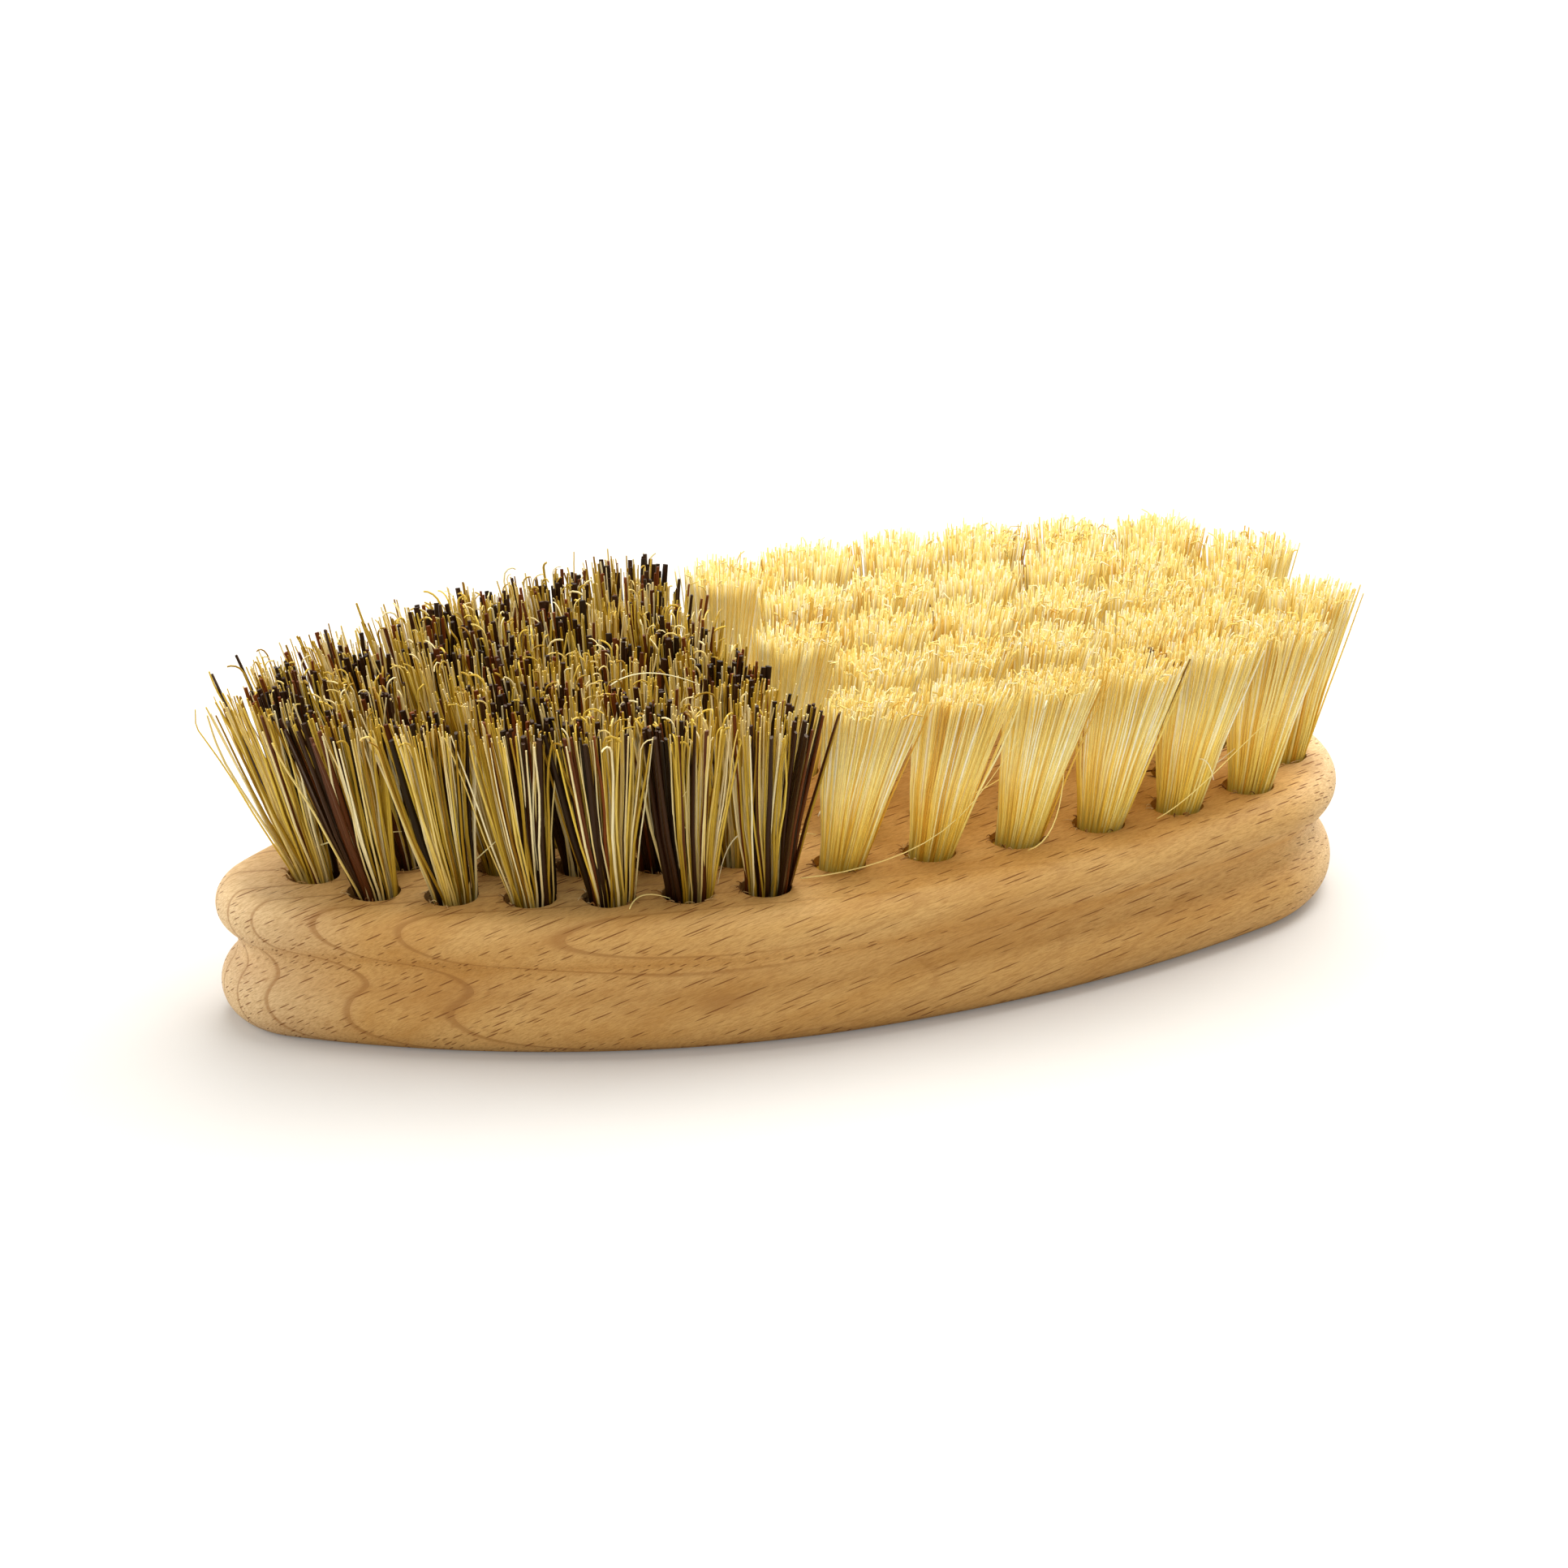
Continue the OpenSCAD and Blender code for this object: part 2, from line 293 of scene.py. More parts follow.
# beech: close pale hardwood, planed, moulded and lightly oiled; dark ray flecks and faint rings
# the rings stand round a pith line; a fleck is a thin plate 3 to 5 mm long, cut by the face and the edges
# lengths are in millimetres, a fleck's radius in shares of its cell, and pattern scales in turns a millimetre
beech = {
    "pale": "#e3b975", "deep": "#c9964f", "bandScale": (0.025, 0.09, 0.16), "bandFrom": 0.3, "bandTo": 0.7,
    # painted light: the wood turns paler towards both tips, where the ends catch more light
    "tipLightColour": "#f2dfb8", "tipLightFrom": 55.0, "tipLightTo": 68.0, "tipLightShare": 0.6,
    "ring": "#95602b", "ringGap": 3.2, "firstRing": 32.7, "ringBend": 2.4, "bendScale": (0.03, 0.09, 0.09),
    "pithAlong": (1.0, -0.312, -0.173), "pithFacing": (0.17, 0.0, 1.0), "pithAt": (0.0, 7.75, -14.6),
    "ringDark": [(0.0, "#9a9a9a"), (0.04, "#202020"), (0.3, "#000000"),
                 (0.76, "#303030"), (0.9, "#707070"), (0.95, "#f0f0f0")],
    "fadeFrom": -30.0, "fadeTo": 5.0, "ringMost": 0.62, "ringLeast": 0.2,
    "pore": "#a9743a", "poreScale": (0.8, 2.0, 8.0), "poreFrom": 0.4, "poreTo": 0.72, "poreShare": 0.65,
    "fleck": "#7a4a22", "plateFacing": (0.216, -0.514, -0.83), "fleckLength": 10.0, "fleckWidth": 2.0,
    "fleckGap": 0.28, "fleckThin": 1.0, "fleckStep": (7.382, 13.618, 0.0), "fleckUneven": 0.7,
    "fleckLeast": 0.17, "fleckMost": 0.29, "fleckBlur": (-0.02, 0.05), "fleckLeftOut": 0.08,
    "fleckShare": 0.85,
    "reliefDepth": 0.06, "relief": 0.4, "smooth": 0.52, "rough": 0.7, "specular": 0.2,
}


def turnTo(along, facing):
    # the turn whose first axis runs along one direction and whose third faces another, square to it
    third = np.array(facing) / np.linalg.norm(facing)
    first = np.array(along) - np.dot(along, third) * third
    first /= np.linalg.norm(first)
    return Matrix(np.stack([first, np.cross(third, first), third]).tolist()).to_euler("XYZ")


def ringCover(tree, size, alongGrain):
    # distance from the pith line, bent a little by slow noise, then a saw tooth that darkens up to each ring
    offset = addNode(tree, "ShaderNodeVectorMath", {"operation": "SUBTRACT"}, {0: size, 1: beech["pithAt"]})
    line = addNode(tree, "ShaderNodeMapping", None, {
        "Vector": offset.outputs[0], "Rotation": turnTo(beech["pithAlong"], beech["pithFacing"])})
    parts = addNode(tree, "ShaderNodeSeparateXYZ", None, {0: line.outputs[0]})
    flat = addNode(tree, "ShaderNodeCombineXYZ", None, {0: parts.outputs["Y"], 1: parts.outputs["Z"]})
    radius = addNode(tree, "ShaderNodeVectorMath", {"operation": "LENGTH"}, {0: flat.outputs[0]})
    slow = addNode(tree, "ShaderNodeMapping", None, {"Vector": line.outputs[0], "Scale": beech["bendScale"]})
    wander = addNode(tree, "ShaderNodeTexNoise", None, {
        "Vector": slow.outputs[0], "Scale": 1.0, "Detail": 2.0})
    bent = addNode(tree, "ShaderNodeMath", {"operation": "MULTIPLY_ADD"}, {
        0: wander.outputs["Fac"], 1: beech["ringBend"], 2: radius.outputs["Value"]})
    start = addNode(tree, "ShaderNodeMath", {"operation": "SUBTRACT"}, {
        0: bent.outputs[0], 1: beech["firstRing"]})
    count = addNode(tree, "ShaderNodeMath", {"operation": "DIVIDE"}, {
        0: start.outputs[0], 1: beech["ringGap"]})
    saw = addNode(tree, "ShaderNodeMath", {"operation": "FRACT"}, {0: count.outputs[0]})
    ring = addNode(tree, "ShaderNodeValToRGB", None, {0: saw.outputs[0]}, beech["ringDark"])
    # the rings show well at the narrow tip and fade towards the full one, where the plank was cut along them
    fade = addNode(tree, "ShaderNodeMapRange", None, {
        "Value": alongGrain, "From Min": beech["fadeFrom"], "From Max": beech["fadeTo"],
        "To Min": beech["ringMost"], "To Max": beech["ringLeast"]})
    cover = addNode(tree, "ShaderNodeMath", {"operation": "MULTIPLY"}, {
        0: ring.outputs["Color"], 1: fade.outputs[0]})
    return cover.outputs[0]


def fleckCover(tree, plates):
    # the wood is cut into thin layers, each with its own scatter of plates: a point is in a fleck where its
    # distance from the nearest plate's middle, along, across and through the layer, is less than its radius
    cellSize = np.array([beech["fleckLength"], beech["fleckWidth"], beech["fleckGap"]])
    cells = addNode(tree, "ShaderNodeMapping", None, {"Vector": plates, "Scale": 1 / cellSize})
    depth = addNode(tree, "ShaderNodeSeparateXYZ", None, {0: cells.outputs[0]})
    layer = addNode(tree, "ShaderNodeMath", {"operation": "FLOOR"}, {0: depth.outputs["Z"]})
    # each layer's scatter is moved by the golden share of a cell, so neighbouring layers' plates don't bunch
    jump = addNode(tree, "ShaderNodeVectorMath", {"operation": "SCALE"}, {
        0: beech["fleckStep"], "Scale": layer.outputs[0]})
    moved = addNode(tree, "ShaderNodeVectorMath", {"operation": "ADD"}, {
        0: cells.outputs[0], 1: jump.outputs[0]})
    flecks = addNode(tree, "ShaderNodeTexVoronoi", {"voronoi_dimensions": "2D"}, {
        "Vector": moved.outputs[0], "Scale": 1.0, "Randomness": beech["fleckUneven"]})
    inLayer = addNode(tree, "ShaderNodeMath", {"operation": "FRACT"}, {0: depth.outputs["Z"]})
    offLayer = addNode(tree, "ShaderNodeMath", {"operation": "MULTIPLY_ADD"}, {
        0: inLayer.outputs[0], 1: beech["fleckThin"], 2: -beech["fleckThin"] / 2})
    pair = addNode(tree, "ShaderNodeCombineXYZ", None, {
        0: flecks.outputs["Distance"], 1: offLayer.outputs[0]})
    away = addNode(tree, "ShaderNodeVectorMath", {"operation": "LENGTH"}, {0: pair.outputs[0]})
    lot = addNode(tree, "ShaderNodeSeparateColor", None, {0: flecks.outputs["Color"]})
    radius = addNode(tree, "ShaderNodeMapRange", None, {
        "Value": lot.outputs[0], "To Min": beech["fleckLeast"], "To Max": beech["fleckMost"]})
    leftOut = addNode(tree, "ShaderNodeMath", {"operation": "LESS_THAN"}, {
        0: lot.outputs[1], 1: beech["fleckLeftOut"]})
    kept = addNode(tree, "ShaderNodeMath", {"operation": "SUBTRACT"}, {
        0: radius.outputs[0], 1: leftOut.outputs[0]})
    inside = addNode(tree, "ShaderNodeMath", {"operation": "SUBTRACT"}, {
        0: kept.outputs[0], 1: away.outputs["Value"]})
    cover = addNode(tree, "ShaderNodeMapRange", None, {
        "Value": inside.outputs[0], "From Min": beech["fleckBlur"][0], "From Max": beech["fleckBlur"][1]})
    return cover.outputs[0]


def beechMaterial():
    # pale wood in bands, paler at the tips by painted light, under rings, pores and flecks, all in the
    # block's own space
    material, tree = newMaterial("OiledBeech")
    place = addNode(tree, "ShaderNodeTexCoord")
    size = addNode(tree, "ShaderNodeMapping", None, {
        "Vector": place.outputs["Object"], "Scale": [1 / mm] * 3})
    along = addNode(tree, "ShaderNodeSeparateXYZ", None, {0: size.outputs[0]})
    plates = addNode(tree, "ShaderNodeMapping", None, {
        "Vector": size.outputs[0], "Rotation": turnTo((1, 0, 0), beech["plateFacing"])})

    # broad bands of warmer and paler wood along the grain
    broad = addNode(tree, "ShaderNodeMapping", None, {
        "Vector": plates.outputs[0], "Scale": beech["bandScale"]})
    bands = addNode(tree, "ShaderNodeTexNoise", None, {
        "Vector": broad.outputs[0], "Scale": 1.0, "Detail": 4.0, "Roughness": 0.6})
    even = addNode(tree, "ShaderNodeMapRange", None, {
        "Value": bands.outputs["Fac"], "From Min": beech["bandFrom"], "From Max": beech["bandTo"]})
    banded = addNode(tree, "ShaderNodeMix", {"data_type": "RGBA"}, {
        0: even.outputs[0], 6: toLinear(beech["pale"]), 7: toLinear(beech["deep"])})

    # painted light: both tips are paler, where the ends catch the most light
    fromMiddle = addNode(tree, "ShaderNodeMath", {"operation": "ABSOLUTE"}, {0: along.outputs["X"]})
    tipLightMask = addNode(tree, "ShaderNodeMapRange", None, {
        "Value": fromMiddle.outputs[0], "From Min": beech["tipLightFrom"], "From Max": beech["tipLightTo"],
        "To Min": 0.0, "To Max": beech["tipLightShare"]})
    body = addNode(tree, "ShaderNodeMix", {"data_type": "RGBA"}, {
        0: tipLightMask.outputs[0], 6: banded.outputs[2], 7: toLinear(beech["tipLightColour"])})
    rings = ringCover(tree, size.outputs[0], along.outputs["X"])
    ringed = addNode(tree, "ShaderNodeMix", {"data_type": "RGBA"}, {
        0: rings, 6: body.outputs[2], 7: toLinear(beech["ring"])})

    # pores: streaks about a tenth of a millimetre wide and 1 mm long
    thin = addNode(tree, "ShaderNodeMapping", None, {
        "Vector": plates.outputs[0], "Scale": beech["poreScale"]})
    pores = addNode(tree, "ShaderNodeTexNoise", None, {
        "Vector": thin.outputs[0], "Scale": 1.0, "Detail": 3.0, "Roughness": 0.7})
    poreCover = addNode(tree, "ShaderNodeMapRange", None, {
        "Value": pores.outputs["Fac"], "From Min": beech["poreFrom"], "From Max": beech["poreTo"],
        "To Min": 0.0, "To Max": beech["poreShare"]})
    pored = addNode(tree, "ShaderNodeMix", {"data_type": "RGBA"}, {
        0: poreCover.outputs[0], 6: ringed.outputs[2], 7: toLinear(beech["pore"])})

    flecks = fleckCover(tree, plates.outputs[0])
    fleckShare = addNode(tree, "ShaderNodeMath", {"operation": "MULTIPLY"}, {
        0: flecks, 1: beech["fleckShare"]})
    colour = addNode(tree, "ShaderNodeMix", {"data_type": "RGBA"}, {
        0: fleckShare.outputs[0], 6: pored.outputs[2], 7: toLinear(beech["fleck"])})

    # flecks and pores lie a few hundredths of a millimetre low, and are a little rougher
    sunk = addNode(tree, "ShaderNodeMath", {"operation": "ADD"}, {0: flecks, 1: poreCover.outputs[0]})
    relief = addNode(tree, "ShaderNodeBump", {"invert": True}, {
        "Strength": beech["relief"], "Distance": beech["reliefDepth"] * mm, "Height": sunk.outputs[0]})
    gloss = addNode(tree, "ShaderNodeMapRange", None, {
        "Value": sunk.outputs[0], "To Min": beech["smooth"], "To Max": beech["rough"]})
    finish = addNode(tree, "ShaderNodeBsdfPrincipled", None, {
        "Base Color": colour.outputs[2], "Roughness": gloss.outputs[0], "IOR": 1.5,
        "Specular IOR Level": beech["specular"], "Normal": relief.outputs[0]})
    addNode(tree, "ShaderNodeOutputMaterial", None, {"Surface": finish.outputs[0]})
    return material


oiledBeech = beechMaterial()


def heading(angle):
    # the direction in the plane of each angle
    return np.stack([np.cos(angle), np.sin(angle)], -1)


def arcPoints(centre, radius, first, last, steps):
    # points of an arc between two angles in degrees
    return np.array(centre) + radius * heading(np.radians(np.linspace(first, last, steps + 1)))


def mouldingSection():
    # how far outside the outline, less than 0 inside it, and how high: nose, cove and bead, each tangent to
    # the next
    b = block
    noseZ = b["height"] - b["noseRadius"]
    noseToCove = b["noseRadius"] + b["coveRadius"]
    coveZ = noseZ - math.sqrt(2 * noseToCove * b["coveDepth"] - b["coveDepth"] ** 2)
    coveToBead = b["beadRadius"] + b["coveRadius"]
    depth = b["coveDepth"] - b["beadSetback"]
    beadZ = coveZ - math.sqrt(2 * coveToBead * depth - depth ** 2)
    nose = (-b["noseRadius"], noseZ)
    cove = (b["coveRadius"] - b["coveDepth"], coveZ)
    bead = (-b["beadSetback"] - b["beadRadius"], beadZ)
    under = math.degrees(math.atan2(cove[1] - nose[1], cove[0] - nose[0]))
    over = math.degrees(math.atan2(cove[1] - bead[1], cove[0] - bead[0]))
    foot = -math.degrees(math.asin(beadZ / b["beadRadius"]))
    return np.concatenate([
        arcPoints(nose, b["noseRadius"], 90, under, b["noseSteps"])[:-1],
        arcPoints(cove, b["coveRadius"], under + 180, over + 180, b["coveSteps"])[:-1],
        arcPoints(bead, b["beadRadius"], over, foot, b["beadSteps"])])


def eggOutline(steps):
    # six tangent arcs, walked evenly: the centre, the radius and the outward direction at each step
    fullSide = sideRadius(fullX, halfWidth, block["fullRadius"])
    narrowSide = sideRadius(narrowX, halfWidth, block["narrowRadius"])
    fullSeam = math.atan2(fullX, fullSide - halfWidth)
    narrowSeam = math.atan2(narrowX, narrowSide - halfWidth)
    quarter = math.pi / 2
    turns = np.array([0, quarter - fullSeam, quarter, quarter + narrowSeam, math.pi])
    lengths = np.diff(turns) * [block["fullRadius"], fullSide, narrowSide, block["narrowRadius"]]
    reached = np.concatenate([[0], np.cumsum(lengths)])
    walked = np.linspace(-reached[-1], reached[-1], steps, endpoint=False)
    turn = np.interp(np.abs(walked), reached, turns)
    which = [turn < turns[1], turn < turns[2], turn < turns[3], turn >= turns[3]]
    side = np.sign(walked)
    centreX = np.select(which, [fullX, 0, 0, -narrowX])
    centreY = side * np.select(which, [0, halfWidth - fullSide, halfWidth - narrowSide, 0])
    centre = np.stack([centreX, centreY], 1)
    radius = np.select(which, [block["fullRadius"], fullSide, narrowSide, block["narrowRadius"]])
    return centre, radius, np.stack([np.cos(turn), side * np.sin(turn)], 1)


def blockSurface():
    # every point of the section, carried round the outline along its outward direction
    section = mouldingSection()
    centre, radius, outward = eggOutline(block["aroundSteps"])
    reachOut = radius[None, :] + section[:, :1]
    flat = centre[None] + reachOut[..., None] * outward[None]
    rows, columns = flat.shape[:2]
    points = np.concatenate([flat, np.broadcast_to(section[:, 1, None, None], (rows, columns, 1))], 2)
    sides = gridFaces(rows, columns)[:, ::-1]
    top = np.arange(columns)[None]
    bottom = (np.arange(columns)[::-1] + (rows - 1) * columns)[None]
    return points.reshape(-1, 3), [sides, top, bottom]


# bores: drilled holes 5.8 mm wide, whose rims broke out a little; heights are measured from the face, and
# flare is how much of the breakout shows at each
anyAngle = 6.3   # radians, a little more than a full turn
bores = {
    "radius": 2.9, "around": 44,
    "heights": [-9.5, -0.9, -0.45, -0.15, 0.05, 1.5], "flare": [0, 0, 0.25, 0.8, 1, 1.2],
    "least": 0.05, "breakout": 0.2, "waves": range(2, 9), "seed": 4, "sharp": 35,
}


def boreCutters():
    # a round wall for each bore, turned along its tuft's axis; waves round the rim make its last part uneven
    heights = np.array(bores["heights"])
    flare = np.array(bores["flare"])
    angle = np.linspace(0, 2 * math.pi, bores["around"], endpoint=False)
    rng = np.random.default_rng(bores["seed"])
    count = len(boreAt)
    waves = sum(rng.normal(0, 1 / k, (count, 1)) * np.cos(k * angle + rng.uniform(0, anyAngle, (count, 1)))
                for k in bores["waves"])
    ragged = bores["least"] + bores["breakout"] * np.clip(np.abs(waves) / 2, 0, 1)
    radius = bores["radius"] + flare[None, :, None] * ragged[:, None, :]
    rise = np.broadcast_to(heights[None, :, None], radius.shape)
    local = np.concatenate([radius[..., None] * heading(angle), rise[..., None]], -1)
    points = np.einsum("nij,nhaj->nhai", boreTurn, local) + boreMouth[:, None, None]
    rows, columns = len(heights), bores["around"]
    shift = (np.arange(count) * rows * columns)[:, None, None]
    walls = (gridFaces(rows, columns)[None] + shift).reshape(-1, 4)
    ends = np.stack([np.arange(columns)[::-1], np.arange(columns) + (rows - 1) * columns])
    return points.reshape(-1, 3), [walls, (ends[None] + shift).reshape(-1, columns)]


blank = makePiece("BeechBlank", *blockSurface(), oiledBeech)
cutters = makePiece("BoreCutters", *boreCutters(), oiledBeech)
drill = blank.modifiers.new("Drill", "BOOLEAN")
drill.operation = "DIFFERENCE"
drill.solver = "EXACT"
drill.object = cutters
drilled = bpy.data.meshes.new_from_object(blank.evaluated_get(bpy.context.evaluated_depsgraph_get()))
drilled.name = "BeechBlock"
drilled.polygons.foreach_set("use_smooth", np.ones(len(drilled.polygons), bool))
drilled.set_sharp_from_angle(angle=math.radians(bores["sharp"]))
bpy.data.objects.remove(blank)
bpy.data.objects.remove(cutters)
beechBlock = bpy.data.objects.new("BeechBlock", drilled)
scene.collection.objects.link(beechBlock)
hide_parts("block")
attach(beechBlock, "root")
print("block drilled:", len(drilled.polygons), "faces")


# union fibre: dark brown palm fibre, thick and glossy, mixed with golden and cream agave fibres
# tones are the colours of its strands, heights are painted shade that darkens them towards the root, deep in
# the tuft, and the painted glow is how much light of its own it gives at the root, half way up and at the tip
unionFibre = {
    "tones": [(0.0, "#1a0d06"), (0.14, "#361809"), (0.26, "#7c3c12"),
              (0.42, "#a5811c"), (0.68, "#efcf54"), (1.0, "#fff4c8")],
    "heights": [(0.0, "#a89c80"), (0.2, "#e4dac2"), (0.5, "#ffffff"), (1.0, "#fffaf0")],
    "roughness": 0.42, "paintedGlow": [0.08, 0.08, 0.0],
}
# tampico: pale yellow agave fibre, fine and level cut, waxy and half clear, so light enters at the tips and
# leaves at the sides; that light is painted on as a glow of the fibre's own
tampicoFibre = {
    "tones": [(0.0, "#4a2c14"), (0.1, "#dcab48"), (0.35, "#fbe07e"), (0.7, "#fff3b2"), (1.0, "#fffce6")],
    # heights: painted shade, darker and deeper yellow towards the root, deep in the tuft
    "heights": [(0.0, "#d8c672"), (0.3, "#f6e8ae"), (0.65, "#ffffff"), (0.9, "#fbf6ea"), (1.0, "#f4ecdc")],
    "roughness": 0.5, "paintedGlow": [0.12, 0.22, 0.07],
}
# what all plant fibres share: streaks about 0.4 mm wide and 4 mm long, in turns for each metre, and the gloss
plantFibre = {
    "streaks": (2600, 2600, 260), "from": 0.3, "to": 0.7, "darkest": 0.86,
    "specular": 0.3, "gloss": "#f4dcb0",
}


def fibreMaterial(name, look):
    # the fibre's own tone, darkened towards the root by painted shade, deep in the tuft
    material, tree = newMaterial(name)
    tone = addNode(tree, "ShaderNodeAttribute", {"attribute_name": "tone"})
    height = addNode(tree, "ShaderNodeAttribute", {"attribute_name": "height"})
    toned = addNode(tree, "ShaderNodeValToRGB", None, {0: tone.outputs["Fac"]}, look["tones"])
    paintedRootShade = addNode(tree, "ShaderNodeValToRGB", None, {0: height.outputs["Fac"]}, look["heights"])
    place = addNode(tree, "ShaderNodeTexCoord")
    lines = addNode(tree, "ShaderNodeMapping", None, {
        "Vector": place.outputs["Object"], "Scale": plantFibre["streaks"]})
    streak = addNode(tree, "ShaderNodeTexNoise", None, {
        "Vector": lines.outputs[0], "Scale": 1.0, "Detail": 2.0})
    streakTone = addNode(tree, "ShaderNodeMapRange", None, {
        "Value": streak.outputs["Fac"], "From Min": plantFibre["from"], "From Max": plantFibre["to"],
        "To Min": plantFibre["darkest"], "To Max": 1.0})
    product = addNode(tree, "ShaderNodeMix", {"data_type": "RGBA", "blend_type": "MULTIPLY"}, {
        0: 1.0, 6: toned.outputs[0], 7: paintedRootShade.outputs[0]})
    colour = addNode(tree, "ShaderNodeVectorMath", {"operation": "SCALE"}, {
        0: product.outputs[2], "Scale": streakTone.outputs[0]})
    finishInputs = {
        "Base Color": colour.outputs[0], "Roughness": look["roughness"], "IOR": 1.5,
        "Specular IOR Level": plantFibre["specular"], "Specular Tint": toLinear(plantFibre["gloss"])}
    if "paintedGlow" in look:
        # painted glow, standing in for the light a fibre passes on from its neighbours, in two straight steps
        # from root to tip
        low, middle, high = look["paintedGlow"]
        lower = addNode(tree, "ShaderNodeMapRange", None, {
            "Value": height.outputs["Fac"], "From Max": 0.5, "To Min": low, "To Max": middle})
        upper = addNode(tree, "ShaderNodeMapRange", None, {
            "Value": height.outputs["Fac"], "From Min": 0.5, "To Min": 0.0, "To Max": high - middle})
        paintedGlow = addNode(tree, "ShaderNodeMath", {"operation": "ADD"}, {
            0: lower.outputs[0], 1: upper.outputs[0]})
        finishInputs["Emission Color"] = colour.outputs[0]
        finishInputs["Emission Strength"] = paintedGlow.outputs[0]
    finish = addNode(tree, "ShaderNodeBsdfPrincipled", None, finishInputs)
    addNode(tree, "ShaderNodeOutputMaterial", None, {"Surface": finish.outputs[0]})
    return material


unionMaterial = fibreMaterial("UnionFibre", unionFibre)
tampicoMaterial = fibreMaterial("TampicoFibre", tampicoFibre)

# a tuft's looks, in millimetres: stations are shares of a fibre's length, uneven is how far tips may stop
# short, dip is how far fibres start below the face, and slip is how far the root stands to one side
# kinds are share, least and greatest half thickness, and least and greatest tone; the first two lie together
stiffTuft = {
    "count": 118, "sides": 5, "sharp": 80,
    "stations": [0, 0.12, 0.26, 0.42, 0.58, 0.72, 0.84, 0.89, 0.93, 0.97, 1.0],
    "rootRadius": 2.3, "tipRadius": 4.7, "dip": 1.6, "slip": 0.38, "uneven": 2.2,
    "scatter": 0.5, "fling": 3.2, "bend": 0.95, "wave": 0.24,
    "curled": 0.2, "curlRadius": 0.95, "curlSpread": 1.0,
    "kinds": [(0.14, 0.3, 0.62, 0.0, 0.13), (0.08, 0.22, 0.48, 0.16, 0.27),
              (0.28, 0.12, 0.2, 0.36, 0.6), (0.5, 0.09, 0.17, 0.64, 1.0)],
    "darkWay": 0.8,
}
softTuft = {
    "count": 390, "sides": 3, "sharp": None,
    "stations": [0, 0.2, 0.45, 0.68, 0.84, 0.92, 1.0],
    "rootRadius": 2.34, "tipRadius": 5.0, "dip": 1.4, "slip": 0.38, "uneven": 0.8,
    "scatter": 0.3, "fling": 1.6, "bend": 0.42, "wave": 0.12,
    "curled": 0.08, "curlRadius": 0.9, "curlSpread": 1.4,
    "kinds": [(0.0, 0.13, 0.19, 0.0, 0.04), (0.03, 0.11, 0.16, 0.1, 0.2),
              (0.55, 0.11, 0.17, 0.25, 0.6), (0.42, 0.1, 0.16, 0.6, 1.0)],
    "darkWay": 0.3,
}
# how any fibre grows: shears is the law by which tips stop short, and tallShare of them rise up to tall more
# a curl starts at curlFrom of the length; fibres thicker than noCurl don't curl, and those thicker than limp
# are flattened to flat and bend only firm times as far; tufts beyond looseX, at the narrow tip, splay more;
# no fibre reaches past farthest on either side of the middle
growth = {
    "shears": (1.2, 3), "tallShare": 0.04, "tall": 0.9,
    "curlFrom": 0.84, "curlMood": (0.2, 2.0), "curlSize": (0.5, 1.4), "curlTurn": (0.9, 2.6), "noCurl": 0.22,
    "opening": 1.1, "looseX": -50, "looser": 1.9, "flingPower": 3, "limp": 0.24, "firm": 0.35, "flat": 0.6,
    "bendFreedom": 3, "bendMost": 3.5, "lean": 0.5, "bow": 0.25, "swing": (5, 9), "slipHeight": 8,
    "taper": 0.35, "under": 1.5, "farthest": np.array([69.5, 31.8]),
}
# a few soft tufts caught some brown fibres: the tuft's number, counted from 0, and their share
brownShare = {3: 0.003, 10: 0.02, 17: 0.003, 26: 0.004}


